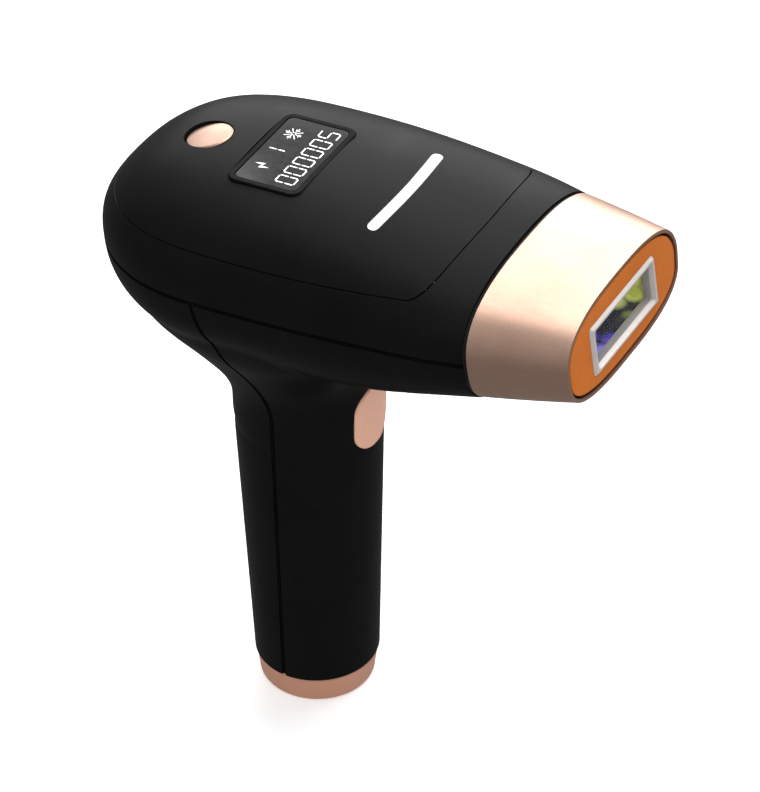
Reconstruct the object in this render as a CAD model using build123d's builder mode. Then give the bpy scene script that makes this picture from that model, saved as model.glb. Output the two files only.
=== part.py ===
from build123d import *
import os
from math import cos, exp, pi, radians, sin

os.makedirs("parts", exist_ok=True)

# ---------------------------------------------------------------------------
# Driving dimensions (millimetres, +Z up the handle, +X towards the window)
# ---------------------------------------------------------------------------
WINDOW_X = 87.5            # centre of the treatment window
WINDOW_Z = 151.9
HEAD_PITCH = 6.5           # the head's axis rises towards the window
FACE_TILT = 8.4            # the window faces this much above the horizontal
COLLAR_TILT = 9.5          # plane between the black body and the cartridge

HEAD_REAR = -142.0         # along the head's axis, measured from the window
HEAD_FRONT = -24.0
COLLAR_AT = -25.6          # front end of the black housing
HALF_WIDTHS = (37.3, 40.4, 35.9)    # rear, middle and collar
TOP_HEIGHTS = (18.1, 22.6, 14.8)    # above the belt line
BOTTOM_DEPTHS = (36.0, 29.6, 16.8)  # below the belt line
BELT_HEIGHTS = (8.0, 4.8, 1.9)
REAR_ROUND_WIDTH = (41.0, 2.26)     # length and power of each rear rounding
REAR_ROUND_TOP = (25.5, 2.2)
REAR_ROUND_BOTTOM = (90.0, 1.77)
TOP_POWER = 2.5
BOTTOM_POWER = 2.9
NECK_AT = -88.0            # the underside is rounder here, over this reach
NECK_REACH = 23.0
NECK_POWER_DROP = 0.6
WALL = 2.2                 # housing wall
GAP = 0.15                 # half of the reveal between housing shells

HANDLE_FOOT_Z = 8.9        # where the black handle meets the end ring
HANDLE_FOOT_R = 17.1
HANDLE_TOP_Z = 105.0
HANDLE_TOP_R = 20.4
HANDLE_LEAN = -2.0         # the handle's centre moves back this far at the top
FLARE_START = 86
NECK_FILLET = 8.0
NECK = (                   # height, reach to the rear and front, half width, power
    (102, 21.1, 20.15, 20.9, 2.0),
    (106, 23.2, 20.4, 22.0, 2.05),
    (110, 26.2, 21.0, 23.7, 2.15),
    (114, 29.2, 22.2, 25.8, 2.35),
    (118, 31.8, 24.0, 28.4, 2.5),
    (122, 34.7, 26.8, 31.2, 2.6),
    (126, 38.8, 30.5, 33.6, 2.7),
    (130, 42.8, 34.0, 35.2, 2.7),
    (134, 45.6, 37.0, 36.4, 2.7),
    (138, 47.6, 39.0, 37.0, 2.7),
)
RING_R = 16.5

WINDOW_W = 35.0            # outer frame of the treatment window
WINDOW_H = 13.9
GLASS_W = 30.5
GLASS_H = 9.8
FACE_HALF_W = 30.4         # front rim of the cartridge
FACE_TOP = 14.0            # above and below its own middle
FACE_BOTTOM = 11.8
FACE_LIFT = -0.5           # that middle, against the window's centre
FACE_POWER = 2.75
COLLAR_HALF_W = 36.1       # oval shared by the collar and the cartridge's rear
COLLAR_HALF_H = 16.2
COLLAR_LIFT = 0.9
COLLAR_POWER = 2.6

BUTTON_R = 6.2
BUTTON_DOME_R = 60.0

# ---------------------------------------------------------------------------
# Frames
# ---------------------------------------------------------------------------
AXIS = Vector(cos(radians(HEAD_PITCH)), 0, sin(radians(HEAD_PITCH)))
UP = Vector(-sin(radians(HEAD_PITCH)), 0, cos(radians(HEAD_PITCH)))
WINDOW = Vector(WINDOW_X, 0, WINDOW_Z)


def head_point(u, y, v):
    """A point given along the head's axis, across it, and above it."""
    return WINDOW + AXIS * u + Vector(0, y, 0) + UP * v


def cross_plane(u, tilt=0.0):
    """Plane across the head: local x is +Y, local y is up."""
    lean = radians(HEAD_PITCH + tilt)
    return Plane(origin=WINDOW + AXIS * u, x_dir=(0, 1, 0), z_dir=(cos(lean), 0, sin(lean)))


def deck_plane(u, v, y=0.0, pitch=0.0):
    """Plane lying in the head: local x is forward, local y is +Y."""
    lean = radians(HEAD_PITCH + pitch)
    return Plane(origin=head_point(u, y, v), x_dir=(cos(lean), 0, sin(lean)),
                 z_dir=(-sin(lean), 0, cos(lean)))


def level_plane(x, z, pitch, y=0.0):
    """Plane at a row position, pitched up towards the front."""
    lean = radians(pitch)
    return Plane(origin=(x, y, z), x_dir=(cos(lean), 0, sin(lean)),
                 z_dir=(-sin(lean), 0, cos(lean)))


BELT = level_plane(5.3, 147.3, 3.56)
TOP_SEAM = level_plane(-3.3, 159.4, 3.15)
DISPLAY = level_plane(-5.5, 168.9, 3.1)
BUTTON = level_plane(-29.6, 166.1, 16.0)
COLLAR = cross_plane(COLLAR_AT, COLLAR_TILT - HEAD_PITCH)
FACE = Plane(origin=WINDOW, x_dir=(0, 1, 0),
             z_dir=(cos(radians(FACE_TILT)), 0, sin(radians(FACE_TILT))))


# ---------------------------------------------------------------------------
# Shape helpers
# ---------------------------------------------------------------------------
def blend(u, ends):
    """Quadratic through a rear, a middle and a collar value."""
    t = (u - HEAD_REAR) / (HEAD_FRONT - HEAD_REAR)
    rear, middle, front = ends
    return rear * (1 - t) * (1 - 2 * t) + 4 * middle * t * (1 - t) + front * t * (2 * t - 1)


def rounding(u, start, shape):
    """Grows from nothing at the rear end to one after the rounding."""
    reach, power = shape
    t = min(max((start + reach - u) / reach, 0.0), 1.0)
    return (1 - t ** power) ** (1 / power)


def oval_points(half_width, top, bottom, middle, top_power, bottom_power, count=12):
    """Closed superellipse with a different upper and lower half."""
    points = []
    for i in range(2 * count):
        angle = pi * i / count
        c, s = cos(angle), sin(angle)
        power = top_power if s >= 0 else bottom_power
        height = top if s >= 0 else bottom
        y = half_width * (1 if c >= 0 else -1) * abs(c) ** (2 / power)
        z = middle + height * (1 if s >= 0 else -1) * abs(s) ** (2 / power)
        points.append((y, z))
    return points


def head_form(inset, front=HEAD_FRONT + 6):
    """Solid head, drawn in by the inset on every side except the front."""
    start = HEAD_REAR + inset
    width_reach = REAR_ROUND_WIDTH[0]
    stations = [width_reach * (1 - cos(radians(a))) for a in range(5, 90, 9)]
    stations += [48, 62, 78, 94, 110]
    with BuildPart() as form:
        for u in [start + s for s in stations] + [front]:
            half_width = (blend(u, HALF_WIDTHS) - inset) * rounding(u, start, REAR_ROUND_WIDTH)
            top = (blend(u, TOP_HEIGHTS) - inset) * rounding(u, start, REAR_ROUND_TOP)
            bottom = (blend(u, BOTTOM_DEPTHS) - inset) * rounding(u, start, REAR_ROUND_BOTTOM)
            softer = NECK_POWER_DROP * exp(-((u - NECK_AT) / NECK_REACH) ** 2)
            outline = oval_points(half_width, top, bottom, blend(u, BELT_HEIGHTS),
                                  TOP_POWER, BOTTOM_POWER - softer)
            with BuildSketch(cross_plane(u)):
                with BuildLine():
                    Spline(*outline, periodic=True)
                make_face()
        loft()
    return form.part


def handle_section(station, inset):
    """Oval face of the handle at one station."""
    z, rear, front, half_width, power = station
    climb = (z - HANDLE_FOOT_Z) / (HANDLE_TOP_Z - HANDLE_FOOT_Z)
    level = Plane(origin=(HANDLE_LEAN * climb, 0, z), x_dir=(0, 1, 0), z_dir=(0, 0, 1))
    with BuildSketch(level) as section:
        with BuildLine():
            Spline(*oval_points(half_width - inset, rear - inset, front - inset, 0,
                                power, power), periodic=True)
        make_face()
    return section.sketch


def taper_station(z):
    """Station on the straight taper of the handle."""
    slope = (HANDLE_TOP_R - HANDLE_FOOT_R) / (HANDLE_TOP_Z - HANDLE_FOOT_Z)
    radius = HANDLE_FOOT_R + slope * (z - HANDLE_FOOT_Z)
    return (z, radius / 1.01, radius / 1.01, radius * 1.01, 2.0)


def handle_form(inset, foot=HANDLE_FOOT_Z):
    """Handle that tapers straight up to the flare and then widens into the head."""
    flare = [taper_station(z) for z in (FLARE_START, FLARE_START + 4, FLARE_START + 8,
                                        FLARE_START + 12)] + list(NECK)
    with BuildPart() as form:
        loft([handle_section(taper_station(z), inset) for z in (foot, FLARE_START)], ruled=True)
        loft([handle_section(station, inset) for station in flare])
    return form.part


def block(plane, length, width, height, corner=0.0):
    """Box standing on a plane, with rounded upright corners."""
    with BuildPart() as form:
        with BuildSketch(plane):
            if corner > 0:
                RectangleRounded(length, width, corner)
            else:
                Rectangle(length, width)
        extrude(amount=height)
    return form.part


def rod(plane, radius, height):
    """Cylinder standing on a plane."""
    with BuildPart() as form:
        with BuildSketch(plane):
            Circle(radius)
        extrude(amount=height)
    return form.part


def coil(plane, radius, wire, height, turns):
    """Helical spring standing on a plane."""
    with BuildPart() as form:
        with BuildLine() as path:
            Helix(pitch=height / turns, height=height, radius=radius)
        with BuildSketch(Plane(path.line @ 0, z_dir=path.line % 0)):
            Circle(wire)
        sweep(is_frenet=True)
    return plane.location * form.part


def top_region(grow):
    """Space above the top cover's seam, closed in front by a bowed end."""
    with BuildPart() as form:
        with BuildSketch(level_plane(-3.3 + grow * 0.055, 159.4 - grow, 3.15)):
            with BuildLine():
                front = 53.6 + grow
                ThreePointArc((front - 2.9, -34), (front, 0), (front - 2.9, 34))
                Polyline((front - 2.9, 34), (front - 6, 60), (-90, 60), (-90, -60),
                         (front - 6, -60), (front - 2.9, -34))
            make_face()
        extrude(amount=40)
        lower_front = form.faces().sort_by(Axis.Z)[0].edges().sort_by(Axis.X)[-1]
        fillet(lower_front, 4)
    return form.part


def rear_region(shift):
    """Space behind the parting line of the lower shells."""
    with BuildPart() as form:
        with BuildSketch(Plane.XZ.offset(-60)):
            with BuildLine():
                Polyline((-0.7 + shift, -5), (-1.2 + shift, 99))
                Spline((-1.2 + shift, 99), (-3.0 + shift, 110), (-8.5 + shift, 130.5),
                       (-13.6 + shift, 152), tangents=[(-0.02, 1), (-0.22, 1)])
                Polyline((-13.6 + shift, 152), (-80, 152), (-80, -5), (-0.7 + shift, -5))
            make_face()
        extrude(amount=120)
    return form.part


def beyond(plane, distance):
    """Thick slab on the positive side of a plane."""
    return block(plane.offset(distance), 300, 300, 200)


# ---------------------------------------------------------------------------
# Housing forms
# ---------------------------------------------------------------------------
with BuildPart() as body_outer:
    add(head_form(0))
    add(handle_form(0))
    neck_edges = [e for e in body_outer.edges() if e.length > 180 and 110 < e.center().Z < 137]
    fillet(neck_edges, NECK_FILLET)
    add(beyond(COLLAR, 0), mode=Mode.SUBTRACT)

with BuildPart() as body_inner:
    add(head_form(WALL, front=HEAD_FRONT + 8))
    add(handle_form(WALL, foot=HANDLE_FOOT_Z - 5))

with BuildPart() as groove_core:
    add(head_form(0.4, front=HEAD_FRONT + 8))
    add(handle_form(0.4, foot=HANDLE_FOOT_Z - 5))

TOP_CUT = top_region(0)
REAR_CUT = rear_region(0)

# Shallow steps that widen the parting lines at the surface
with BuildPart() as belt_step:
    add(block(BELT.offset(-0.55), 300, 200, 1.1))
    add(groove_core.part, mode=Mode.SUBTRACT)

with BuildPart() as spine_step:
    add(rear_region(0.6))
    add(rear_region(-0.6), mode=Mode.SUBTRACT)
    add(groove_core.part, mode=Mode.SUBTRACT)

# ---------------------------------------------------------------------------
# Housing shells
# ---------------------------------------------------------------------------
with BuildPart() as top_cover:
    add(body_outer.part)
    add(body_inner.part, mode=Mode.SUBTRACT)
    add(top_region(-GAP), mode=Mode.INTERSECT)
    # display opening with a ledge
    add(block(DISPLAY.offset(-1.7), 21.2, 32.8, 8, 3.2), mode=Mode.SUBTRACT)
    add(block(DISPLAY.offset(-8), 15.5, 27, 10, 1.5), mode=Mode.SUBTRACT)
    # power button opening
    add(rod(BUTTON.offset(-9), 6.5, 18), mode=Mode.SUBTRACT)
    # light bar opening
    with BuildSketch(Plane.XY.offset(150)):
        SlotArc(ThreePointArc((26.7, -16.5), (27.8, 0), (26.7, 16.5)), 3.3)
    extrude(amount=30, mode=Mode.SUBTRACT)
    top_cover.part.label = "top_cover"
export_step(top_cover.part, "parts/top_cover.step")

with BuildPart() as upper_shell:
    add(body_outer.part)
    add(body_inner.part, mode=Mode.SUBTRACT)
    add(top_region(GAP), mode=Mode.SUBTRACT)
    add(block(BELT.offset(GAP), 300, 200, 60), mode=Mode.INTERSECT)
    add(belt_step.part, mode=Mode.SUBTRACT)
    upper_shell.part.label = "upper_shell"
export_step(upper_shell.part, "parts/upper_shell.step")

with BuildPart() as lower_shell:
    add(body_outer.part)
    add(body_inner.part, mode=Mode.SUBTRACT)
    add(block(BELT.offset(-GAP), 300, 200, 80), mode=Mode.SUBTRACT)
    add(belt_step.part, mode=Mode.SUBTRACT)
    add(spine_step.part, mode=Mode.SUBTRACT)

TRIGGER_Z = 95.2
TRIGGER_W = 16.2
TRIGGER_H = 20.5
TRIGGER_CORNER = 7.0
trigger_face = Plane(origin=(13.2, 0, TRIGGER_Z), x_dir=(0, 1, 0), z_dir=(1, 0, 0))


def facing_front(x, y, z):
    """Plane across +X, for bosses, screws and the trigger."""
    return Plane(origin=(x, y, z), x_dir=(0, 1, 0), z_dir=(1, 0, 0))


HANDLE_SCREWS = (16.5, 112.0)       # heights of the two handle screws
HEAD_SCREWS = ((-45.0, 30.0), (-45.0, -30.0))

with BuildPart() as front_bosses:
    for z in HANDLE_SCREWS:
        add(rod(facing_front(-4.6, 0, z), 3.2, 26))
    for u, y in HEAD_SCREWS:
        add(rod(deck_plane(u, -20, y), 3.2, 18.9))
        side = 1 if y > 0 else -1
        add(block(deck_plane(u, -20, y + 4 * side), 1.6, 8, 18.9))
    add(body_outer.part, mode=Mode.INTERSECT)
    add(block(BELT.offset(-0.8), 300, 200, 80), mode=Mode.SUBTRACT)

with BuildPart() as front_shell:
    add(lower_shell.part)
    add(rear_region(GAP), mode=Mode.SUBTRACT)
    add(front_bosses.part)
    for z in HANDLE_SCREWS:
        add(rod(facing_front(-4.8, 0, z), 1.15, 12), mode=Mode.SUBTRACT)
    for u, y in HEAD_SCREWS:
        add(rod(deck_plane(u, -40, y), 1.35, 60), mode=Mode.SUBTRACT)
        add(rod(deck_plane(u, -40, y), 2.9, 31), mode=Mode.SUBTRACT)
    # cooling air slots under the head
    with BuildSketch(level_plane(44, 120, 8)):
        with GridLocations(0, 4.2, 1, 9):
            SlotOverall(17, 2)
    extrude(amount=18, mode=Mode.SUBTRACT)
    # opening for the trigger
    with BuildSketch(trigger_face):
        RectangleRounded(TRIGGER_W + 0.5, TRIGGER_H + 0.5, TRIGGER_CORNER + 0.25)
    extrude(amount=15, mode=Mode.SUBTRACT)
    front_shell.part.label = "front_shell"
export_step(front_shell.part, "parts/front_shell.step")


with BuildPart() as rear_bosses:
    for z in HANDLE_SCREWS:
        add(rod(facing_front(-36, 0, z), 3.9, 31.1))
    add(body_outer.part, mode=Mode.INTERSECT)

with BuildPart() as rear_shell:
    add(lower_shell.part)
    add(rear_region(-GAP), mode=Mode.INTERSECT)
    add(rear_bosses.part)
    for z in HANDLE_SCREWS:
        add(rod(facing_front(-40, 0, z), 1.35, 60), mode=Mode.SUBTRACT)
        add(rod(facing_front(-40, 0, z), 2.9, 32.2), mode=Mode.SUBTRACT)
    # outlet slots in the flare behind the handle
    outlet = Plane(origin=(-37.0, 0, 122.0), x_dir=(-0.63, 0, 0.776), z_dir=(-0.776, 0, -0.63))
    with BuildSketch(outlet.offset(-5)):
        with GridLocations(0, 4.2, 1, 5):
            SlotOverall(14, 2)
    extrude(amount=10, mode=Mode.SUBTRACT)
    rear_shell.part.label = "rear_shell"
export_step(rear_shell.part, "parts/rear_shell.step")

with BuildPart() as case_screws:
    for z in HANDLE_SCREWS:
        add(rod(facing_front(-7.7, 0, z), 1.1, 10))
        add(rod(facing_front(-9.9, 0, z), 2.5, 2.1))
        add(block(facing_front(-10, 0, z), 2.6, 0.7, 1.2), mode=Mode.SUBTRACT)
        add(block(facing_front(-10, 0, z), 0.7, 2.6, 1.2), mode=Mode.SUBTRACT)
    for u, y in HEAD_SCREWS:
        add(rod(deck_plane(u, -9.0, y), 1.1, 12.5))
        add(rod(deck_plane(u, -11.2, y), 2.5, 2.1))
        add(block(deck_plane(u, -11.3, y), 2.6, 0.7, 1.2), mode=Mode.SUBTRACT)
        add(block(deck_plane(u, -11.3, y), 0.7, 2.6, 1.2), mode=Mode.SUBTRACT)
    case_screws.part.label = "case_screws"
export_step(case_screws.part, "parts/case_screws.step")

# ---------------------------------------------------------------------------
# Handle end: ring, cap and power inlet
# ---------------------------------------------------------------------------
with BuildPart() as end_ring:
    with BuildSketch(Plane.XZ):
        with BuildLine():
            Polyline((13.5, 0.15), (14.3, 0.15))
            ThreePointArc((14.3, 0.15), (15.35, 0.55), (15.75, 1.6))
            Polyline((15.75, 1.6), (RING_R, 7.4))
            ThreePointArc((RING_R, 7.4), (RING_R - 0.12, 8.3), (RING_R - 0.6, 8.75))
            Polyline((RING_R - 0.6, 8.75), (14.05, 8.75), (14.05, 12.2), (13.0, 12.2),
                     (13.0, 3.5), (13.5, 3.5), (13.5, 0.15))
        make_face()
    revolve(axis=Axis.Z)
    end_ring.part.label = "end_ring"
export_step(end_ring.part, "parts/end_ring.step")

INLET_X = -6.0
with BuildPart() as end_cap:
    add(rod(Plane.XY, 13.4, 3.4))
    chamfer(end_cap.faces().sort_by(Axis.Z)[0].edges(), 0.4)
    add(rod(Plane.XY.offset(-1).shift_origin((INLET_X, 0, -1)), 3.4, 8), mode=Mode.SUBTRACT)
    end_cap.part.label = "end_cap"
export_step(end_cap.part, "parts/end_cap.step")

inlet_plane = Plane(origin=(INLET_X, 0, 0.3), z_dir=(0, 0, 1))
with BuildPart() as dc_socket:
    add(rod(inlet_plane, 3.3, 3.3))
    add(block(inlet_plane.offset(3.3), 9.4, 9.4, 8.4))
    add(rod(inlet_plane, 2.8, 9.5), mode=Mode.SUBTRACT)
    add(rod(inlet_plane.offset(9), 1.02, 4), mode=Mode.SUBTRACT)
    dc_socket.part.label = "dc_socket"
export_step(dc_socket.part, "parts/dc_socket.step")

with BuildPart() as dc_pin:
    add(rod(inlet_plane.offset(1.2), 1.0, 10.3))
    fillet(dc_pin.faces().sort_by(Axis.Z)[0].edges(), 0.4)
    dc_pin.part.label = "dc_pin"
export_step(dc_pin.part, "parts/dc_pin.step")

# ---------------------------------------------------------------------------
# Top of the head: display, light bar and power button
# ---------------------------------------------------------------------------
with BuildPart() as display_bezel:
    add(block(DISPLAY.offset(-1.65), 21.0, 32.6, 1.8, 3.1))
    chamfer(display_bezel.faces().sort_by(Axis.Z)[-1].edges(), 0.3)
    add(block(DISPLAY.offset(-3), 18.0, 29.6, 6, 2.0), mode=Mode.SUBTRACT)
    display_bezel.part.label = "display_bezel"
export_step(display_bezel.part, "parts/display_bezel.step")

with BuildPart() as display_lens:
    add(block(DISPLAY.offset(-1.6), 17.8, 29.4, 1.65, 1.9))
    chamfer(display_lens.faces().sort_by(Axis.Z)[-1].edges(), 0.2)
    display_lens.part.label = "display_lens"
export_step(display_lens.part, "parts/display_lens.step")

with BuildPart() as lcd_module:
    add(block(DISPLAY.offset(-5.2), 15.0, 26.4, 3.5, 1.6))
    lcd_module.part.label = "lcd_module"
export_step(lcd_module.part, "parts/lcd_module.step")

with BuildPart() as light_bar:
    with BuildSketch(Plane.XY.offset(165.4)):
        SlotArc(ThreePointArc((26.7, -16.5), (27.8, 0), (26.7, 16.5)), 3.1)
    extrude(amount=20)
    add(body_outer.part, mode=Mode.INTERSECT)
    light_bar.part.label = "light_bar"
export_step(light_bar.part, "parts/light_bar.step")

with BuildPart() as light_board:
    add(block(Plane.XY.offset(161.6).shift_origin((27.2, 0, 161.6)), 9, 40, 1.6, 1))
    light_board.part.label = "light_board"
export_step(light_board.part, "parts/light_board.step")

with BuildPart() as light_leds:
    for y in (-14, -7, 0, 7, 14):
        add(block(Plane(origin=(27.2, y, 163.25)), 3.0, 2.8, 1.3, 0.3))
    light_leds.part.label = "light_leds"
export_step(light_leds.part, "parts/light_leds.step")

with BuildPart() as button_guide:
    add(rod(BUTTON.offset(-6.2), 8.2, 2.6))
    add(rod(BUTTON.offset(-7), 6.5, 6), mode=Mode.SUBTRACT)
    button_guide.part.label = "button_guide"
export_step(button_guide.part, "parts/button_guide.step")

with BuildPart() as power_button:
    add(rod(BUTTON.offset(-1.9), BUTTON_R, 2.7))
    with Locations(BUTTON.offset(0.75 - BUTTON_DOME_R)):
        Sphere(BUTTON_DOME_R, rotation=(90, 0, 0), mode=Mode.INTERSECT)
    chamfer(power_button.faces().sort_by(Axis.Z)[-1].edges(), 0.35)
    add(rod(BUTTON.offset(-2.9), 1.5, 1.2))
    power_button.part.label = "power_button"
export_step(power_button.part, "parts/power_button.step")

with BuildPart() as button_switch:
    add(block(BUTTON.offset(-6.7), 6.0, 6.0, 2.2, 0.3))
    add(rod(BUTTON.offset(-4.6), 1.3, 0.75))
    button_switch.part.label = "button_switch"
export_step(button_switch.part, "parts/button_switch.step")

with BuildPart() as button_spring:
    add(coil(BUTTON.offset(-4.15), 2.3, 0.2, 1.9, 3))
    button_spring.part.label = "button_spring"
export_step(button_spring.part, "parts/button_spring.step")

board_plane = DISPLAY.offset(-11.2)
BOARD_SCREWS = ((-27.0, 20.0), (-27.0, -20.0), (24.0, 20.0), (24.0, -20.0))
with BuildPart() as control_board:
    add(block(board_plane, 58, 46, 1.6, 2))
    for x, y in BOARD_SCREWS:
        add(rod(Plane(origin=board_plane.from_local_coords((x, y, -1)), z_dir=board_plane.z_dir),
                1.2, 4), mode=Mode.SUBTRACT)
    control_board.part.label = "control_board"
export_step(control_board.part, "parts/control_board.step")

with BuildPart() as board_chips:
    for x, y, length, width, height in ((6, -8, 9, 9, 1.2), (-12, 12, 6, 5, 1.5),
                                        (18, 8, 5, 8, 1.5), (16, -16, 7, 4, 2.4)):
        corner = Plane(origin=board_plane.from_local_coords((x, y, 1.62)),
                       x_dir=board_plane.x_dir, z_dir=board_plane.z_dir)
        add(block(corner, length, width, height, 0.2))
    board_chips.part.label = "board_chips"
export_step(board_chips.part, "parts/board_chips.step")

with BuildPart() as board_screws:
    for x, y in BOARD_SCREWS:
        seat = Plane(origin=board_plane.from_local_coords((x, y, 1.65)),
                     x_dir=board_plane.x_dir, z_dir=board_plane.z_dir)
        add(rod(seat, 2.0, 1.3))
        add(rod(seat.offset(-4.5), 1.0, 4.6))
        add(block(seat.offset(0.7), 2.2, 0.6, 1.0), mode=Mode.SUBTRACT)
    board_screws.part.label = "board_screws"
export_step(board_screws.part, "parts/board_screws.step")

# ---------------------------------------------------------------------------
# Handle inside: capacitor, power board, transformer and trigger
# ---------------------------------------------------------------------------
with BuildPart() as flash_capacitor:
    add(rod(Plane(origin=(-3.5, 0, 24)), 10.0, 48))
    fillet(flash_capacitor.edges().filter_by(GeomType.CIRCLE), 0.8)
    with BuildSketch(Plane(origin=(-3.5, 0, 26.5))):
        Circle(10.5)
        Circle(9.4, mode=Mode.SUBTRACT)
    extrude(amount=1.0, mode=Mode.SUBTRACT)
    flash_capacitor.part.label = "flash_capacitor"
export_step(flash_capacitor.part, "parts/flash_capacitor.step")

with BuildPart() as power_board:
    add(block(Plane(origin=(10.4, 0, 22)), 1.6, 17, 58))
    power_board.part.label = "power_board"
export_step(power_board.part, "parts/power_board.step")

with BuildPart() as board_parts:
    for y, z, width, height, depth in ((-4, 28, 6, 6, 1.8), (4, 34, 5, 9, 2.0),
                                       (-4, 46, 6, 10, 2.2), (4, 56, 6, 6, 1.6),
                                       (-3, 66, 8, 6, 2.0)):
        add(block(Plane(origin=(11.28 + depth / 2, y, z)), depth, width, height))
    board_parts.part.label = "board_parts"
export_step(board_parts.part, "parts/board_parts.step")

with BuildPart() as transformer:
    add(block(Plane(origin=(-4.5, 0, 79.5)), 15, 16, 3, 1))
    add(block(Plane(origin=(-4.5, 0, 82.4)), 11, 12, 10.2, 3))
    add(block(Plane(origin=(-4.5, 0, 92.5)), 15, 16, 3, 1))
    transformer.part.label = "transformer"
export_step(transformer.part, "parts/transformer.step")

with BuildPart() as trigger:
    with BuildSketch(trigger_face):
        RectangleRounded(TRIGGER_W, TRIGGER_H, TRIGGER_CORNER)
    extrude(amount=15)
    add(handle_form(-0.5), mode=Mode.INTERSECT)
    outer_face = trigger.faces().sort_by(Axis.X)[-1]
    chamfer(outer_face.edges(), 0.4)
    with BuildSketch(facing_front(12.0, 0, TRIGGER_Z)):
        RectangleRounded(TRIGGER_W + 2.2, TRIGGER_H + 2.2, TRIGGER_CORNER + 1.1)
    extrude(amount=1.4)
    add(rod(facing_front(9.3, 0, TRIGGER_Z), 2.5, 3))
    trigger.part.label = "trigger"
export_step(trigger.part, "parts/trigger.step")

with BuildPart() as trigger_switch:
    add(block(facing_front(4.0, 0, TRIGGER_Z), 10.0, 9.0, 2.4))
    add(rod(facing_front(6.3, 0, TRIGGER_Z), 1.5, 0.9))
    trigger_switch.part.label = "trigger_switch"
export_step(trigger_switch.part, "parts/trigger_switch.step")

with BuildPart() as trigger_spring:
    add(coil(facing_front(6.75, 0, TRIGGER_Z), 3.5, 0.3, 4.9, 4))
    trigger_spring.part.label = "trigger_spring"
export_step(trigger_spring.part, "parts/trigger_spring.step")

# ---------------------------------------------------------------------------
# Cooling: fan, heat sink and cooling module
# ---------------------------------------------------------------------------
fan_plane = Plane(origin=head_point(-107, 0, 0.8), x_dir=(0, 1, 0), z_dir=AXIS)
with BuildPart() as fan_frame:
    add(block(fan_plane, 30, 30, 8, 2))
    add(rod(fan_plane.offset(-1), 14.2, 12), mode=Mode.SUBTRACT)
    with BuildSketch(fan_plane):
        Circle(7.2)
        with PolarLocations(0, 4, 45):
            Rectangle(30, 2.0)
        Circle(14.6, mode=Mode.INTERSECT)
    extrude(amount=1.2)
    for y in (-12.3, 12.3):
        for z in (-12.3, 12.3):
            hole = Plane(origin=fan_plane.from_local_coords((y, z, -1)), z_dir=AXIS)
            add(rod(hole, 1.3, 14), mode=Mode.SUBTRACT)
    fan_frame.part.label = "fan_frame"
export_step(fan_frame.part, "parts/fan_frame.step")

with BuildPart() as fan_rotor:
    add(rod(fan_plane.offset(1.6), 7.0, 5.8))
    fillet(fan_rotor.faces().sort_by(Axis.X)[-1].edges(), 0.8)
    for i in range(7):
        turn = radians(i * 360 / 7)
        spot = fan_plane.from_local_coords((9.8 * cos(turn), 9.8 * sin(turn), 4.5))
        outward = fan_plane.from_local_coords((cos(turn), sin(turn), 0)) - fan_plane.origin
        across = fan_plane.from_local_coords((-sin(turn), cos(turn), 0)) - fan_plane.origin
        lean = across * cos(radians(38)) + fan_plane.z_dir * sin(radians(38))
        blade = Plane(origin=spot, x_dir=outward, z_dir=outward.cross(lean))
        add(block(blade.offset(-0.45), 7.0, 7.0, 0.9))
    fan_rotor.part.label = "fan_rotor"
export_step(fan_rotor.part, "parts/fan_rotor.step")

with BuildPart() as heatsink:
    add(block(COLLAR.offset(-11.2), 40, 21, 3))
    with BuildSketch(COLLAR.offset(-26)):
        with GridLocations(3.86, 0, 11, 1):
            Rectangle(1.2, 21)
    extrude(amount=15)
    heatsink.part.label = "heatsink"
export_step(heatsink.part, "parts/heatsink.step")

with BuildPart() as cooling_module:
    add(block(COLLAR.offset(-8.15), 28, 18, 0.8))
    with BuildSketch(COLLAR.offset(-7.4)):
        with GridLocations(3.8, 3.6, 7, 5):
            Rectangle(2.0, 2.0)
    extrude(amount=2.2)
    add(block(COLLAR.offset(-5.25), 28, 18, 0.8))
    cooling_module.part.label = "cooling_module"
export_step(cooling_module.part, "parts/cooling_module.step")

# ---------------------------------------------------------------------------
# Collar and inner frame that carry the cartridge
# ---------------------------------------------------------------------------
def collar_outline(inset):
    """Oval of the head at the collar, drawn in by the inset."""
    return oval_points(COLLAR_HALF_W - inset, COLLAR_HALF_H - inset, COLLAR_HALF_H - inset,
                       COLLAR_LIFT, COLLAR_POWER, COLLAR_POWER + 0.1)


def collar_slab(inset, start, thickness):
    """Oval plate square to the collar plane."""
    with BuildPart() as form:
        with BuildSketch(COLLAR.offset(start)):
            with BuildLine():
                Spline(*collar_outline(inset), periodic=True)
            make_face()
        extrude(amount=thickness)
    return form.part


with BuildPart() as collar_ring:
    add(collar_slab(0.35, 0.05, 0.85))
    add(collar_slab(2.8, -6.4, 6.5))
    add(collar_slab(4.4, -8, 12), mode=Mode.SUBTRACT)
    collar_ring.part.label = "collar_ring"
export_step(collar_ring.part, "parts/collar_ring.step")

PINS = ((-24.0, -3.0), (-24.0, 3.0), (24.0, -3.0), (24.0, 3.0))


def collar_spot(y, v, offset):
    """Plane square to the collar at a position on it."""
    return Plane(origin=COLLAR.from_local_coords((y, v, offset)), x_dir=COLLAR.x_dir,
                 z_dir=COLLAR.z_dir)


with BuildPart() as inner_frame:
    add(collar_slab(2.8, -8.1, 1.5))
    add(block(COLLAR.offset(-9), 29, 19, 3), mode=Mode.SUBTRACT)
    for y, v in PINS:
        add(rod(collar_spot(y, v, -9), 2.1, 3), mode=Mode.SUBTRACT)
    inner_frame.part.label = "inner_frame"
export_step(inner_frame.part, "parts/inner_frame.step")

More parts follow.
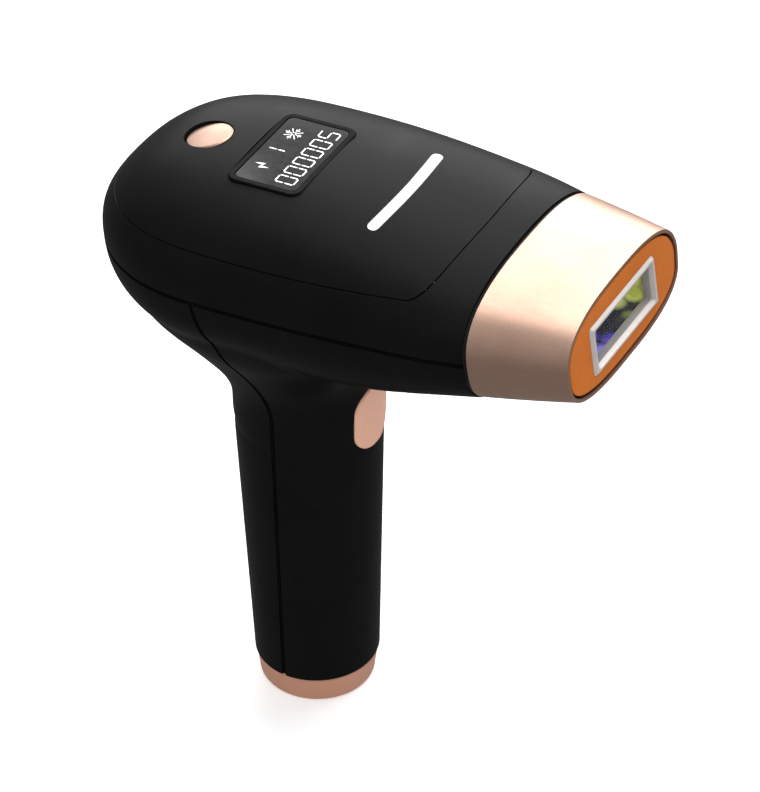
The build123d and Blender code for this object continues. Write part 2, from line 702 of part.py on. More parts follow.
with BuildPart() as contact_sockets:
    for y, v in PINS:
        add(rod(collar_spot(y, v, -13), 2.0, 7.5))
        add(rod(collar_spot(y, v, -11.5), 1.0, 7), mode=Mode.SUBTRACT)
    contact_sockets.part.label = "contact_sockets"
export_step(contact_sockets.part, "parts/contact_sockets.step")

# ---------------------------------------------------------------------------
# Lamp cartridge
# ---------------------------------------------------------------------------
CARTRIDGE_BACK = 1.1


def cartridge_form(inset, back, front):
    """Tapered cartridge body between two offsets from the collar plane."""
    length = -COLLAR_AT
    with BuildPart() as form:
        for step in range(5):
            u = back + (front - back) * step / 4
            t = u / length
            tilt = COLLAR_TILT * (1 - t) + FACE_TILT * t - HEAD_PITCH
            swell = 0.15 * 4 * t * (1 - t)
            half_w = COLLAR_HALF_W * (1 - t) + FACE_HALF_W * t + swell - inset
            top = COLLAR_HALF_H * (1 - t) + FACE_TOP * t + swell - inset
            bottom = COLLAR_HALF_H * (1 - t) + FACE_BOTTOM * t + swell - inset
            middle = COLLAR_LIFT * (1 - t) + FACE_LIFT * t
            power = COLLAR_POWER * (1 - t) + FACE_POWER * t
            with BuildSketch(cross_plane(COLLAR_AT + u, tilt)):
                with BuildLine():
                    Spline(*oval_points(half_w, top, bottom, middle, power, power + 0.1),
                           periodic=True)
                make_face()
        loft()
    return form.part


def face_slab(inset, start, thickness):
    """Plate with the outline of the face, drawn in by the inset."""
    with BuildPart() as form:
        with BuildSketch(FACE.offset(start)):
            with BuildLine():
                Spline(*oval_points(FACE_HALF_W - inset, FACE_TOP - inset, FACE_BOTTOM - inset,
                                    FACE_LIFT, FACE_POWER, FACE_POWER + 0.1),
                       periodic=True)
            make_face()
        extrude(amount=thickness)
    return form.part


with BuildPart() as cartridge_shell:
    add(cartridge_form(0, CARTRIDGE_BACK, -COLLAR_AT))
    add(cartridge_form(1.6, CARTRIDGE_BACK - 2, -COLLAR_AT - 3), mode=Mode.SUBTRACT)
    add(face_slab(0.9, -6, 12), mode=Mode.SUBTRACT)
    cartridge_shell.part.label = "cartridge_shell"
export_step(cartridge_shell.part, "parts/cartridge_shell.step")

with BuildPart() as face_seal:
    add(face_slab(1.05, -2.6, 1.5))
    add(face_slab(2.4, -4, 8), mode=Mode.SUBTRACT)
    face_seal.part.label = "face_seal"
export_step(face_seal.part, "parts/face_seal.step")

with BuildPart() as face_plate:
    add(face_slab(1.6, -1.0, 0.85))
    chamfer(face_plate.faces().sort_by(Axis.X)[-1].edges(), 0.25)
    add(face_slab(2.55, -2.5, 2.0))
    add(block(FACE.offset(-5), WINDOW_W + 0.2, WINDOW_H + 0.2, 10, 1.1), mode=Mode.SUBTRACT)
    face_plate.part.label = "face_plate"
export_step(face_plate.part, "parts/face_plate.step")

with BuildPart() as window_frame:
    add(block(FACE.offset(-2.5), WINDOW_W, WINDOW_H, 3.1, 1.0))
    chamfer(window_frame.faces().sort_by(Axis.X)[-1].edges(), 0.7)
    with BuildSketch(FACE.offset(0.6)):
        RectangleRounded(GLASS_W + 1.6, GLASS_H + 1.6, 1.0)
    extrude(amount=-1.1, taper=36, mode=Mode.SUBTRACT)
    add(block(FACE.offset(-5), GLASS_W, GLASS_H, 10, 0.5), mode=Mode.SUBTRACT)
    window_frame.part.label = "window_frame"
export_step(window_frame.part, "parts/window_frame.step")

with BuildPart() as filter_glass:
    add(block(FACE.offset(-2.5), GLASS_W - 0.1, GLASS_H - 0.1, 2.3, 0.4))
    filter_glass.part.label = "filter_glass"
export_step(filter_glass.part, "parts/filter_glass.step")

with BuildPart() as reflector:
    add(block(FACE.offset(-14.5), 34, 13.5, 11.8, 1))
    with BuildSketch(Plane(origin=FACE.from_local_coords((0, 0, -2.7)), x_dir=FACE.y_dir,
                           z_dir=FACE.x_dir).offset(-15.3)):
        with BuildLine():
            Spline((4.9, 0.5), (4.6, -4), (0, -10.6), (-4.6, -4), (-4.9, 0.5))
            Line((-4.9, 0.5), (4.9, 0.5))
        make_face()
    extrude(amount=30.6, mode=Mode.SUBTRACT)
    lamp_axis = Plane(origin=FACE.from_local_coords((-30, 0, -8.6)), x_dir=FACE.y_dir,
                      z_dir=FACE.x_dir)
    add(rod(lamp_axis, 2.5, 60), mode=Mode.SUBTRACT)
    reflector.part.label = "reflector"
export_step(reflector.part, "parts/reflector.step")

with BuildPart() as flash_lamp:
    add(rod(lamp_axis.offset(6.0), 2.2, 48))
    fillet(flash_lamp.edges().filter_by(GeomType.CIRCLE), 0.9)
    flash_lamp.part.label = "flash_lamp"
export_step(flash_lamp.part, "parts/flash_lamp.step")

with BuildPart() as lamp_electrodes:
    add(rod(lamp_axis.offset(3.2), 0.8, 2.75))
    add(rod(lamp_axis.offset(54.05), 0.8, 2.75))
    lamp_electrodes.part.label = "lamp_electrodes"
export_step(lamp_electrodes.part, "parts/lamp_electrodes.step")

with BuildPart() as lamp_holders:
    for start in (8.2, 47.8):
        holder = Plane(origin=lamp_axis.from_local_coords((0, 0, start)), x_dir=FACE.y_dir,
                       z_dir=FACE.x_dir)
        add(block(holder, 9.5, 8.0, 4.0, 1))
        add(rod(holder.offset(-1), 2.25, 6), mode=Mode.SUBTRACT)
    lamp_holders.part.label = "lamp_holders"
export_step(lamp_holders.part, "parts/lamp_holders.step")

with BuildPart() as cartridge_base:
    add(collar_slab(2.6, CARTRIDGE_BACK + 0.2, 1.6))
    add(collar_slab(4.7, -3.8, 5.2))
    add(collar_slab(6.2, -5, 6.3), mode=Mode.SUBTRACT)
    add(block(COLLAR.offset(-6), 28.4, 18.4, 12), mode=Mode.SUBTRACT)
    for y, v in PINS:
        add(rod(collar_spot(y, v, -9), 0.92, 16), mode=Mode.SUBTRACT)
    cartridge_base.part.label = "cartridge_base"
export_step(cartridge_base.part, "parts/cartridge_base.step")

with BuildPart() as contact_plate:
    add(block(COLLAR.offset(-4.4), 28, 18, 9.0, 1))
    contact_plate.part.label = "contact_plate"
export_step(contact_plate.part, "parts/contact_plate.step")

with BuildPart() as contact_pins:
    for y, v in PINS:
        add(rod(collar_spot(y, v, -10.5), 0.9, 16))
    contact_pins.part.label = "contact_pins"
export_step(contact_pins.part, "parts/contact_pins.step")


# ---------------------------------------------------------------------------
# Wiring
# ---------------------------------------------------------------------------
def wire(radius, *points):
    """Round cable along a smooth path."""
    with BuildPart() as form:
        with BuildLine() as path:
            Spline(*points)
        with BuildSketch(Plane(path.line @ 0, z_dir=path.line % 0)):
            Circle(radius)
        sweep()
    return form.part


with BuildPart() as lamp_leads:
    for side in (-1, 1):
        end = collar_spot(24.0 * side, 0, -15.5).origin
        add(wire(0.9, (8.3, 6.5 * side, 77), (8.0, 10.0 * side, 90), (6.0, 11 * side, 107),
                 (8.5, 12 * side, 122), (20, 17 * side, 133), (end.X, end.Y, end.Z)))
    lamp_leads.part.label = "lamp_leads"
export_step(lamp_leads.part, "parts/lamp_leads.step")

with BuildPart() as main_cable:
    add(wire(1.2, (4, 12, 155), (0, 13, 135), (-3, 13.2, 110), (-4, 12.6, 90),
             (-4, 12.4, 78)))
    main_cable.part.label = "main_cable"
export_step(main_cable.part, "parts/main_cable.step")
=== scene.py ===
import bmesh
import bpy
import math
from mathutils import Matrix, Vector


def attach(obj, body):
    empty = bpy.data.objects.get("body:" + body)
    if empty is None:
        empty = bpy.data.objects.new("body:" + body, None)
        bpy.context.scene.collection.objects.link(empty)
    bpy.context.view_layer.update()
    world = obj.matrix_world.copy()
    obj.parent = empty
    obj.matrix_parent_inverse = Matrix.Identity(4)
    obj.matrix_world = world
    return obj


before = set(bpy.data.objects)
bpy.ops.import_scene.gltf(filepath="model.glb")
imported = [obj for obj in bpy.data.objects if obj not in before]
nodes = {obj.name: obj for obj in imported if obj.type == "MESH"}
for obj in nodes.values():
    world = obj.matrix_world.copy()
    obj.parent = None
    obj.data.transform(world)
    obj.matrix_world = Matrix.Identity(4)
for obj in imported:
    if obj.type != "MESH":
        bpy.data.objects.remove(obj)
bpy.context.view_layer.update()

MM = 0.001
DISPLAY_PITCH = math.radians(3.1)
DISPLAY_X, DISPLAY_Z = -5.5, 168.9     # centre of the lens, in mm
DIGIT_STEP = 4.36                      # spacing of the count's digits, in mm
BAR_X = 0.0278                         # middle of the light bar, in metres
BAR_BOW = 4.04                         # how fast the bar bends back to either side
FLOOR_AWAY, FLOOR_ASIDE = 0.479, 0.878    # direction in which the floor runs from the camera
FLOOR_GAP = 0.00005                    # keeps the floor just under the end ring


# ---------------------------------------------------------------------------
# Node helpers
# ---------------------------------------------------------------------------
class Paint:
    """A principled material with helpers for procedural detail."""

    def __init__(self, name, **values):
        self.material = bpy.data.materials.new(name)
        self.material.use_nodes = True
        self.tree = self.material.node_tree
        self.shader = self.tree.nodes["Principled BSDF"]
        self.place = self.tree.nodes.new("ShaderNodeTexCoord").outputs["Object"]
        self.height = None
        for socket, value in values.items():
            self.shader.inputs[socket.replace("_", " ")].default_value = value

    def node(self, kind, **settings):
        made = self.tree.nodes.new(kind)
        for key, value in settings.items():
            setattr(made, key, value)
        return made

    def link(self, source, target):
        self.tree.links.new(source, target)

    def noise(self, scale, detail=3.0, rough=0.55, stretch=None, distortion=0.0):
        """Noise value in the object's own space, with a scale per metre."""
        place = self.place
        if stretch is not None:
            mapping = self.node("ShaderNodeMapping")
            mapping.inputs["Scale"].default_value = stretch
            self.link(place, mapping.inputs["Vector"])
            place = mapping.outputs["Vector"]
        texture = self.node("ShaderNodeTexNoise")
        texture.inputs["Scale"].default_value = scale
        texture.inputs["Detail"].default_value = detail
        texture.inputs["Roughness"].default_value = rough
        texture.inputs["Distortion"].default_value = distortion
        self.link(place, texture.inputs["Vector"])
        return texture.outputs["Fac"]

    def cells(self, scale, feature="F1"):
        texture = self.node("ShaderNodeTexVoronoi", feature=feature)
        texture.inputs["Scale"].default_value = scale
        self.link(self.place, texture.inputs["Vector"])
        return texture.outputs["Distance"]

    def ramp(self, value, low, high, low_out, high_out):
        made = self.node("ShaderNodeMapRange")
        for key, number in (("From Min", low), ("From Max", high),
                            ("To Min", low_out), ("To Max", high_out)):
            made.inputs[key].default_value = number
        self.link(value, made.inputs["Value"])
        return made.outputs["Result"]

    def maths(self, operation, a, b):
        made = self.node("ShaderNodeMath", operation=operation)
        for slot, value in ((0, a), (1, b)):
            if isinstance(value, (int, float)):
                made.inputs[slot].default_value = value
            else:
                self.link(value, made.inputs[slot])
        return made.outputs[0]

    def blend(self, factor, first, second):
        made = self.node("ShaderNodeMix", data_type="RGBA")
        self.link(factor, made.inputs["Factor"])
        for name, value in (("A", first), ("B", second)):
            socket = [s for s in made.inputs if s.name == name and s.type == "RGBA"][0]
            if isinstance(value, tuple):
                socket.default_value = (*value, 1.0)
            else:
                self.link(value, socket)
        return [s for s in made.outputs if s.type == "RGBA"][0]

    def colour(self, output):
        self.link(output, self.shader.inputs["Base Color"])

    def roughness(self, output):
        self.link(output, self.shader.inputs["Roughness"])

    def bump(self, value, strength, distance):
        made = self.node("ShaderNodeBump")
        made.inputs["Strength"].default_value = strength
        made.inputs["Distance"].default_value = distance
        self.link(value, made.inputs["Height"])
        if self.height is not None:
            self.link(self.height, made.inputs["Normal"])
        self.height = made.outputs["Normal"]
        self.link(self.height, self.shader.inputs["Normal"])


def plain_detail(paint, dark, light, rough_low, rough_high, scale=300.0, grain=2500.0,
                 strength=0.12, distance=0.00004):
    """Mottled colour, uneven roughness and a fine surface grain."""
    broad = paint.noise(scale, 4.0)
    fine = paint.noise(grain, 2.0)
    paint.colour(paint.blend(paint.ramp(broad, 0.3, 0.7, 0.0, 1.0), dark, light))
    mixed = paint.maths("ADD", paint.maths("MULTIPLY", broad, 0.6),
                        paint.maths("MULTIPLY", fine, 0.4))
    paint.roughness(paint.ramp(mixed, 0.3, 0.7, rough_low, rough_high))
    paint.bump(fine, strength, distance)
    return paint


def soft_touch():
    """Black soft-touch coating: very fine orange peel and faint handling marks."""
    paint = Paint("soft_touch_black", Specular_IOR_Level=0.06)
    marks = paint.noise(38.0, 5.0, 0.6, distortion=0.4)
    peel = paint.noise(1500.0, 2.0, 0.5)
    grain = paint.cells(3800.0)
    paint.colour(paint.blend(paint.ramp(marks, 0.35, 0.7, 0.0, 1.0),
                             (0.0030, 0.0030, 0.0031), (0.0046, 0.0046, 0.0047)))
    paint.roughness(paint.ramp(paint.maths("ADD", paint.maths("MULTIPLY", marks, 0.7),
                                           paint.maths("MULTIPLY", grain, 0.3)),
                               0.25, 0.65, 0.36, 0.48))
    paint.bump(peel, 0.10, 0.00003)
    paint.bump(grain, 0.08, 0.00002)
    return paint.material


def gloss_black(name="gloss_black"):
    paint = Paint(name, Specular_IOR_Level=0.16)
    return plain_detail(paint, (0.003, 0.003, 0.0032), (0.006, 0.006, 0.0063),
                        0.16, 0.26, 120.0, 1800.0, 0.05).material


def black_rubber():
    paint = Paint("black_rubber", Specular_IOR_Level=0.06)
    return plain_detail(paint, (0.0022, 0.0022, 0.0022), (0.0040, 0.0040, 0.0039),
                        0.5, 0.7, 400.0, 3500.0, 0.2).material


def satin_metal(name, deep, bright, rough_low, rough_high, metallic=0.92, shine=0.5):
    """Plated plastic: fine metal flake, soft streaks and uneven gloss."""
    paint = Paint(name, Metallic=metallic, Anisotropic=0.25, Specular_IOR_Level=shine)
    flake = paint.cells(5200.0)
    cloud = paint.noise(60.0, 4.0)
    streak = paint.noise(900.0, 3.0, 0.6, stretch=(0.12, 1.0, 1.0))
    tone = paint.maths("ADD", paint.maths("MULTIPLY", cloud, 0.45),
                       paint.maths("ADD", paint.maths("MULTIPLY", streak, 0.2),
                                   paint.maths("MULTIPLY", flake, 0.45)))
    paint.colour(paint.blend(paint.ramp(tone, 0.3, 0.8, 0.0, 1.0), deep, bright))
    paint.roughness(paint.ramp(tone, 0.3, 0.8, rough_high, rough_low))
    paint.bump(flake, 0.10, 0.00003)
    paint.bump(streak, 0.04, 0.00003)
    return paint.material


def metal(name, dark, light, rough_low, rough_high, stretch=None):
    paint = Paint(name, Metallic=1.0)
    brushed = paint.noise(1400.0, 3.0, 0.6, stretch=stretch or (1.0, 1.0, 1.0))
    broad = paint.noise(150.0, 3.0)
    paint.colour(paint.blend(paint.ramp(broad, 0.3, 0.7, 0.0, 1.0), dark, light))
    paint.roughness(paint.ramp(brushed, 0.3, 0.7, rough_low, rough_high))
    paint.bump(brushed, 0.12, 0.00003)
    return paint.material


def circuit_board():
    """Green solder mask with copper tracks showing as a raised pattern."""
    paint = Paint("circuit_board", Coat_Weight=0.4, Coat_Roughness=0.2)
    brick = paint.node("ShaderNodeTexBrick", offset=0.37)
    brick.inputs["Scale"].default_value = 420.0
    brick.inputs["Mortar Size"].default_value = 0.06
    brick.inputs["Mortar Smooth"].default_value = 0.3
    paint.link(paint.place, brick.inputs["Vector"])
    dust = paint.noise(260.0, 4.0)
    base = paint.blend(dust, (0.008, 0.062, 0.022), (0.014, 0.095, 0.036))
    paint.colour(paint.blend(brick.outputs["Fac"], base, (0.03, 0.17, 0.06)))
    paint.roughness(paint.ramp(dust, 0.3, 0.7, 0.28, 0.46))
    paint.bump(brick.outputs["Fac"], 0.3, 0.00004)
    return paint.material


def sleeve():
    """Shrink sleeve of the capacitor with a pale polarity band."""
    paint = Paint("capacitor_sleeve", Coat_Weight=0.5, Coat_Roughness=0.15)
    split = paint.node("ShaderNodeSeparateXYZ")
    paint.link(paint.place, split.inputs[0])
    band = paint.maths("GREATER_THAN", split.outputs["Y"], 0.0085)
    wrinkle = paint.noise(500.0, 3.0, stretch=(1.0, 1.0, 0.25))
    base = paint.blend(wrinkle, (0.012, 0.016, 0.05), (0.02, 0.027, 0.08))
    paint.colour(paint.blend(band, base, (0.42, 0.43, 0.45)))
    paint.roughness(paint.ramp(wrinkle, 0.3, 0.7, 0.2, 0.4))
    paint.bump(wrinkle, 0.15, 0.00006)
    return paint.material


def lens_glass():
    """Smoked display lens: graphite sheet with a painted reflection, paler towards its rear corner
    and its edges.
    """
    paint = Paint("display_glass", Specular_IOR_Level=0.1)
    split = paint.node("ShaderNodeSeparateXYZ")
    paint.link(paint.place, split.inputs[0])
    slope = paint.ramp(split.outputs["X"], -0.0145, -0.004, 1.0, 0.0)
    side = paint.ramp(split.outputs["Y"], -0.0147, -0.002, 1.0, 0.0)
    ends = paint.ramp(paint.maths("ABSOLUTE", split.outputs["Y"], 0.0), 0.0100, 0.0150, 0.0, 1.0)
    cloud = paint.noise(90.0, 3.0)
    # painted reflection: paler towards the rear corner on the -Y side and towards both ends
    corner = paint.maths("ADD", paint.maths("MULTIPLY", slope, side),
                         paint.maths("MULTIPLY", slope, 0.18))
    mixed = paint.maths("ADD", corner, paint.maths("ADD", paint.maths("MULTIPLY", ends, 0.25),
                                                   paint.maths("MULTIPLY", cloud, 0.12)))
    paint.colour(paint.blend(mixed, (0.0065, 0.0065, 0.0065), (0.050, 0.050, 0.051)))
    paint.roughness(paint.ramp(paint.noise(700.0, 3.0), 0.3, 0.7, 0.14, 0.24))
    paint.bump(paint.noise(900.0, 2.0), 0.02, 0.00002)
    return paint.material


def glowing(name, colour, strength, scale=220.0):
    """Lit diffuser with a slightly uneven glow."""
    paint = Paint(name, Emission_Strength=strength)
    uneven = paint.noise(scale, 3.0)
    low = tuple(c * 0.93 for c in colour)
    tone = paint.blend(paint.ramp(uneven, 0.3, 0.7, 0.0, 1.0), low, colour)
    paint.colour(tone)
    paint.link(tone, paint.shader.inputs["Emission Color"])
    paint.roughness(paint.ramp(uneven, 0.3, 0.7, 0.35, 0.5))
    paint.bump(paint.noise(1600.0, 2.0), 0.05, 0.00003)
    return paint.material


def light_strip():
    """Lit bar that is full white along its middle and softens towards both long edges."""
    paint = Paint("lit_bar")
    split = paint.node("ShaderNodeSeparateXYZ")
    paint.link(paint.place, split.inputs[0])
    bow = paint.maths("MULTIPLY", split.outputs["Y"], split.outputs["Y"])
    centre = paint.maths("SUBTRACT", BAR_X, paint.maths("MULTIPLY", bow, BAR_BOW))
    aside = paint.maths("ABSOLUTE", paint.maths("SUBTRACT", split.outputs["X"], centre), 0.0)
    uneven = paint.noise(220.0, 3.0)
    edge = paint.ramp(aside, 0.00085, 0.00155, 1.0, 0.22)
    glow = paint.maths("MULTIPLY", edge, paint.ramp(uneven, 0.3, 0.7, 0.94, 1.0))
    tone = paint.blend(glow, (0.02, 0.02, 0.02), (1.0, 1.0, 1.0))
    paint.colour(tone)
    paint.link(tone, paint.shader.inputs["Emission Color"])
    paint.link(paint.maths("MULTIPLY", glow, 1.25), paint.shader.inputs["Emission Strength"])
    paint.roughness(paint.ramp(uneven, 0.3, 0.7, 0.35, 0.5))
    paint.bump(paint.noise(1600.0, 2.0), 0.05, 0.00003)
    return paint.material


def window_glass():
    """Clear filter glass with a faint haze."""
    paint = Paint("filter_glass", Specular_IOR_Level=0.5)
    haze = paint.noise(260.0, 4.0)
    paint.colour(paint.blend(haze, (0.10, 0.09, 0.16), (0.22, 0.22, 0.24)))
    paint.roughness(paint.ramp(haze, 0.4, 0.75, 0.02, 0.08))
    paint.link(paint.ramp(haze, 0.3, 0.7, 0.05, 0.12), paint.shader.inputs["Alpha"])
    return paint.material


def painted_reflections():
    """Reflector with painted reflections: violet on one side, dark in the middle, yellow-green on the
    other, and a painted glow.
    """
    paint = Paint("reflector_painted_reflections", Metallic=0.7)
    split = paint.node("ShaderNodeSeparateXYZ")
    paint.link(paint.place, split.inputs[0])
    shards = paint.node("ShaderNodeTexVoronoi", feature="F1")
    shards.inputs["Scale"].default_value = 170.0
    paint.link(paint.place, shards.inputs["Vector"])
    shift = paint.maths("MULTIPLY", paint.noise(160.0, 3.0), 0.010)
    across = paint.maths("ADD", split.outputs["Y"], shift)
    ramp = paint.node("ShaderNodeValToRGB")
    ramp.color_ramp.interpolation = "LINEAR"
    # painted reflections: violet on one side, dark in the middle, yellow-green on the other
    reflection_stops = ((0.0, (0.20, 0.18, 0.22)), (0.16, (0.42, 0.34, 0.85)), (0.34, (0.10, 0.07, 0.62)),
             (0.46, (0.006, 0.006, 0.01)), (0.62, (0.012, 0.013, 0.006)),
             (0.70, (0.42, 0.47, 0.05)), (0.86, (0.66, 0.70, 0.22)), (1.0, (0.36, 0.40, 0.06)))
    band = ramp.color_ramp
    while len(band.elements) < len(reflection_stops):
        band.elements.new(0.5)
    for element, (spot, tone) in zip(band.elements, reflection_stops):
        element.position = spot
        element.color = (*tone, 1.0)
    paint.link(paint.ramp(across, -0.010, 0.020, 0.0, 1.0), ramp.inputs["Fac"])
    patch = paint.ramp(shards.outputs["Distance"], 0.35, 0.65, 0.0, 1.0)
    tone = paint.blend(patch, ramp.outputs["Color"], (0.01, 0.01, 0.015))
    paint.colour(tone)
    paint.link(tone, paint.shader.inputs["Emission Color"])
    # painted glow: the reflector is no lamp
    paint.shader.inputs["Emission Strength"].default_value = 0.55
    paint.roughness(paint.ramp(shards.outputs["Distance"], 0.0, 0.6, 0.08, 0.25))
    paint.bump(shards.outputs["Distance"], 0.8, 0.0004)
    return paint.material


def wire_skin():
    paint = Paint("wire_insulation", Specular_IOR_Level=0.4)
    return plain_detail(paint, (0.25, 0.012, 0.01), (0.36, 0.02, 0.016),
                        0.35, 0.5, 300.0, 2200.0).material


shell = soft_touch()
gloss = gloss_black()
rubber = black_rubber()
rose = satin_metal("rose_gold_satin", (0.44, 0.27, 0.20), (0.58, 0.385, 0.30), 0.34, 0.44)
trigger_rose = satin_metal("rose_gold_trigger", (0.74, 0.40, 0.285), (0.88, 0.50, 0.36),
                           0.36, 0.46, 0.3)
button_rose = satin_metal("rose_gold_button", (0.46, 0.29, 0.215), (0.60, 0.40, 0.31), 0.34, 0.46)
ring_copper = satin_metal("copper_ring", (0.52, 0.25, 0.16), (0.64, 0.33, 0.225), 0.34, 0.44, 0.35)
copper = satin_metal("copper_face", (0.42, 0.105, 0.012), (0.54, 0.150, 0.018), 0.46, 0.58, 0.1, 0.08)
silver = satin_metal("silver_frame", (0.42, 0.385, 0.36), (0.58, 0.545, 0.52), 0.34, 0.46, 0.3, 0.2)
steel = metal("plated_steel", (0.42, 0.42, 0.43), (0.62, 0.62, 0.63), 0.25, 0.4)
brass = metal("brass_contact", (0.62, 0.42, 0.16), (0.80, 0.60, 0.28), 0.18, 0.32)
alloy = metal("extruded_aluminium", (0.52, 0.53, 0.54), (0.70, 0.71, 0.72), 0.28, 0.45,
              (0.15, 1.0, 1.0))
board = circuit_board()
chip = plain_detail(Paint("chip_resin"), (0.010, 0.010, 0.011), (0.022, 0.022, 0.023),
                    0.5, 0.7, 600.0, 4000.0, 0.2).material
ferrite = plain_detail(Paint("ferrite_core"), (0.016, 0.015, 0.015), (0.035, 0.032, 0.03),
                       0.55, 0.75, 500.0, 3000.0, 0.3).material
ceramic = plain_detail(Paint("ceramic_plate"), (0.66, 0.66, 0.63), (0.78, 0.78, 0.76),
                       0.35, 0.5, 350.0, 2600.0).material
crystal = plain_detail(Paint("crystal_display", Coat_Weight=0.3), (0.012, 0.014, 0.016),
                       (0.022, 0.026, 0.03), 0.25, 0.35, 200.0, 2000.0, 0.05).material
clear = window_glass()
lamp_glass = Paint("lamp_glass", Alpha=0.3)
plain_detail(lamp_glass, (0.60, 0.62, 0.70), (0.80, 0.82, 0.88), 0.02, 0.08, 200.0, 1500.0, 0.03)
lit_digit = glowing("lit_digit", (0.94, 0.95, 0.96), 0.85)
led_face = glowing("led_face", (1.0, 0.95, 0.75), 0.4)

looks = {
    shell: ("top_cover", "upper_shell", "front_shell", "rear_shell", "inner_frame"),
    gloss: ("collar_ring", "end_cap", "dc_socket", "button_switch", "button_guide",
            "trigger_switch", "fan_frame", "fan_rotor", "cartridge_base"),
    rubber: ("display_bezel", "face_seal", "lamp_holders"),
    rose: ("cartridge_shell",),
    trigger_rose: ("trigger",),
    button_rose: ("power_button",),
    ring_copper: ("end_ring",),
    copper: ("face_plate",),
    silver: ("window_frame",),
    steel: ("case_screws", "board_screws", "button_spring", "trigger_spring"),
    brass: ("dc_pin", "contact_sockets", "contact_pins", "lamp_electrodes"),
    alloy: ("heatsink", "contact_plate"),
    board: ("control_board", "power_board", "light_board"),
    chip: ("board_chips", "board_parts"),
    ferrite: ("transformer",),
    ceramic: ("cooling_module",),
    crystal: ("lcd_module",),
    sleeve(): ("flash_capacitor",),
    lens_glass(): ("display_lens",),
    light_strip(): ("light_bar",),
    led_face: ("light_leds",),
    clear: ("filter_glass",),
    lamp_glass.material: ("flash_lamp",),
    painted_reflections(): ("reflector",),
    wire_skin(): ("lamp_leads", "main_cable"),
}
for look, names in looks.items():
    for name in names:
        if name in nodes:
            nodes[name].data.materials.clear()
            nodes[name].data.materials.append(look)


# ---------------------------------------------------------------------------
# Display figures: seven-segment digits and two icons
# ---------------------------------------------------------------------------
def on_display(along, across, lift=0.075):
    """Row position on the lens. along is forward of its centre, across is towards -Y."""
    c, s = math.cos(DISPLAY_PITCH), math.sin(DISPLAY_PITCH)
    return Vector((DISPLAY_X + along * c - lift * s, -across,
                   DISPLAY_Z + along * s + lift * c)) * MM


def flat_piece(name, outlines, look, body="housing", lift=0.075, depth=0.02):
    """Thin solid figures on the display, one for each closed outline."""
    mesh = bmesh.new()
    for outline in outlines:
        top = [mesh.verts.new(on_display(u, v, lift)) for u, v in outline]
        low = [mesh.verts.new(on_display(u, v, lift - depth)) for u, v in outline]
        mesh.faces.new(top)
        mesh.faces.new(list(reversed(low)))
        count = len(outline)
        for i in range(count):
            mesh.faces.new((top[i], low[i], low[(i + 1) % count], top[(i + 1) % count]))
    bmesh.ops.recalc_face_normals(mesh, faces=mesh.faces)
    data = bpy.data.meshes.new(name)
    mesh.to_mesh(data)
    mesh.free()
    piece = bpy.data.objects.new(name, data)
    bpy.context.scene.collection.objects.link(piece)
    data.materials.append(look)
    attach(piece, body)
    return piece


def segment(u0, v0, u1, v1, half=0.17, gap=0.16):
    """Six-sided bar between two points of a digit."""
    start, end = Vector((u0, v0)), Vector((u1, v1))
    way = (end - start).normalized()
    side = Vector((-way.y, way.x)) * half
    start, end = start + way * gap, end - way * gap
    points = [start, start + way * half + side, end - way * half + side, end,
              end - way * half - side, start + way * half - side]
    return [(p.x, p.y) for p in points]


SEGMENTS = {"0": "abcdef", "1": "bc", "5": "acdfg"}


def digit(figure, centre_u, centre_v, height=5.2, width=2.9):
    top, mid, low = centre_u + height / 2, centre_u, centre_u - height / 2
    left, right = centre_v - width / 2, centre_v + width / 2
    bars = {"a": (top, left, top, right), "b": (top, right, mid, right),
            "c": (mid, right, low, right), "d": (low, left, low, right),
            "e": (mid, left, low, left), "f": (top, left, mid, left),
            "g": (mid, left, mid, right)}
    return [segment(*bars[key]) for key in SEGMENTS[figure]]


count_outlines = []
for place, figure in enumerate("500000"):
    count_outlines += digit(figure, 4.45, -10.95 + DIGIT_STEP * place)
flat_piece("display_count", count_outlines, lit_digit)
flat_piece("display_level", digit("1", -4.5, -1.3, 4.8, 2.4), lit_digit)

bolt = [(-6.6, 7.2), (-3.95, 6.55), (-4.45, 7.95), (-2.3, 8.1), (-4.95, 8.85), (-4.5, 7.45)]
flat_piece("display_bolt", [bolt], lit_digit)

flake_outlines = []
for arm in range(8):
    turn = (arm + 0.25) * math.pi / 4
    way, side = Vector((math.cos(turn), math.sin(turn))), Vector((-math.sin(turn), math.cos(turn)))
    centre = Vector((-4.2, -7.9))

    def spot(a, b):
        p = centre + way * a + side * b
        return (p.x, p.y)

    flake_outlines.append([spot(0.40, -0.08), spot(2.50, -0.09), spot(2.50, 0.09), spot(0.40, 0.08)])
    if arm % 2 == 0:
        for hand in (-1, 1):
            flake_outlines.append([spot(1.45, 0.12 * hand), spot(2.05, 0.52 * hand),
                                   spot(1.95, 0.66 * hand), spot(1.35, 0.28 * hand)])
flat_piece("display_snowflake", flake_outlines, lit_digit)

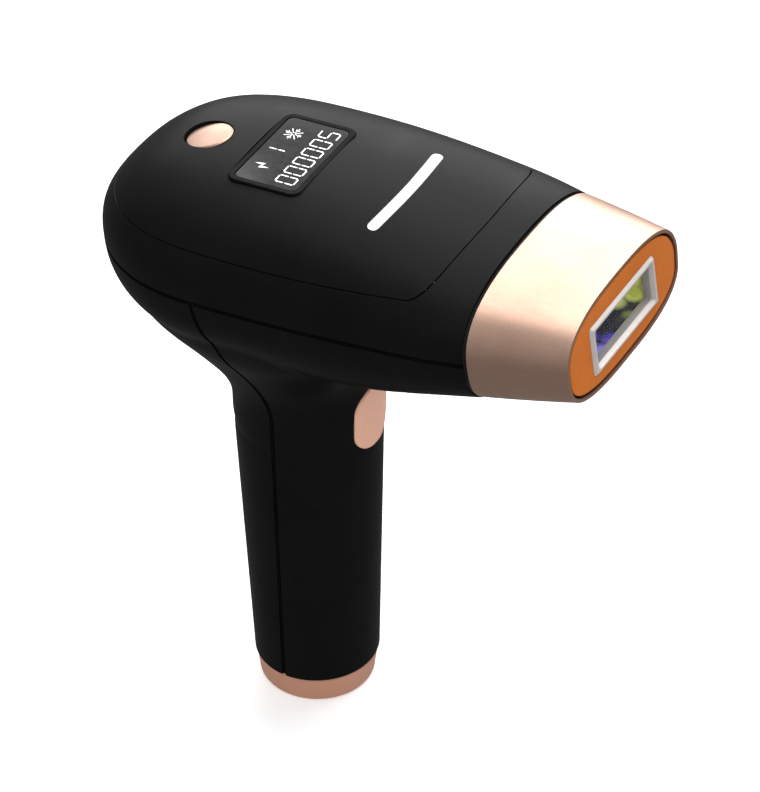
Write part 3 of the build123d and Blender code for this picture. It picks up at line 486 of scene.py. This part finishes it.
# ---------------------------------------------------------------------------
# Stage, light and camera
# ---------------------------------------------------------------------------
stage_paint = Paint("studio_floor", Specular_IOR_Level=0.05, Emission_Strength=0.4)
plain_detail(stage_paint, (0.71, 0.71, 0.71), (0.74, 0.74, 0.74), 0.85, 0.95, 3.0, 40.0, 0.02)
sweep = bmesh.new()
rows = [(1.5 - 0.225 * i, 0.0) for i in range(17)]
for i in range(1, 17):
    bend = i / 16 * math.pi / 2
    rows.append((-2.1 - 1.2 * math.sin(bend), 1.2 * (1 - math.cos(bend))))
rows.append((-3.3, 5.0))
grid = []
for reach, height in rows:
    line = []
    for j in range(9):
        across = (j - 4) * 1.2
        line.append(sweep.verts.new((FLOOR_AWAY * reach + FLOOR_ASIDE * across,
                                     -FLOOR_ASIDE * reach + FLOOR_AWAY * across,
                                     height - FLOOR_GAP)))
    grid.append(line)
for a, b in zip(grid, grid[1:]):
    for j in range(8):
        sweep.faces.new((a[j], b[j], b[j + 1], a[j + 1]))
bmesh.ops.recalc_face_normals(sweep, faces=sweep.faces)
floor_data = bpy.data.meshes.new("studio_floor")
sweep.to_mesh(floor_data)
sweep.free()
for polygon in floor_data.polygons:
    polygon.use_smooth = True
floor = bpy.data.objects.new("studio_floor", floor_data)
bpy.context.scene.collection.objects.link(floor)
floor_data.materials.append(stage_paint.material)
floor.visible_glossy = False


def softbox(name, place, aim, size_x, size_y, power):
    light = bpy.data.lights.new(name, "AREA")
    light.shape = "RECTANGLE"
    light.size, light.size_y, light.energy = size_x, size_y, power
    lamp = bpy.data.objects.new(name, light)
    lamp.location = place
    lamp.rotation_euler = (Vector(aim) - Vector(place)).to_track_quat("-Z", "Y").to_euler()
    bpy.context.scene.collection.objects.link(lamp)
    return lamp


softbox("overhead", (0.10, 0.80, 1.45), (0.03, 0.0, 0.15), 1.9, 1.9, 36)
softbox("back_card", (-0.50, 1.30, 0.60), (0.08, 0.0, 0.15), 1.3, 0.7, 11)
# lights the floor without showing in the metals
wash = softbox("floor_wash", (0.4, -1.5, 1.9), (0.0, 0.0, 0.0), 1.2, 1.2, 20)
wash.visible_glossy = False

world = bpy.data.worlds.new("studio")
world.use_nodes = True
bpy.context.scene.world = world
# dimmer towards the ground, so that the undersides of the metals stay dark
sky = world.node_tree
way = sky.nodes.new("ShaderNodeTexCoord")
height = sky.nodes.new("ShaderNodeSeparateXYZ")
fade = sky.nodes.new("ShaderNodeMapRange")
for key, number in (("From Min", -0.25), ("From Max", 0.9), ("To Min", 0.24), ("To Max", 0.62)):
    fade.inputs[key].default_value = number
sky.links.new(way.outputs["Generated"], height.inputs[0])
sky.links.new(height.outputs["Z"], fade.inputs["Value"])
sky.links.new(fade.outputs["Result"], sky.nodes["Background"].inputs["Strength"])
sky.nodes["Background"].inputs["Color"].default_value = (1.0, 1.0, 1.0, 1.0)
bpy.context.scene.view_settings.view_transform = "Standard"

camera_data = bpy.data.cameras.new("camera")
camera_data.sensor_width = 36.0
camera_data.lens = 194.9
camera_data.clip_start, camera_data.clip_end = 0.05, 20.0
camera = bpy.data.objects.new("camera", camera_data)
right = Vector((0.8781, 0.4785, 0.0)).normalized()
back = Vector((0.3745, -0.6873, 0.6223)).normalized()
up = back.cross(right).normalized()
turn = Matrix((right, up, back)).transposed().to_4x4()
camera.matrix_world = Matrix.Translation((0.4341, -0.7610, 0.7899)) @ turn
bpy.context.scene.collection.objects.link(camera)
bpy.context.scene.camera = camera
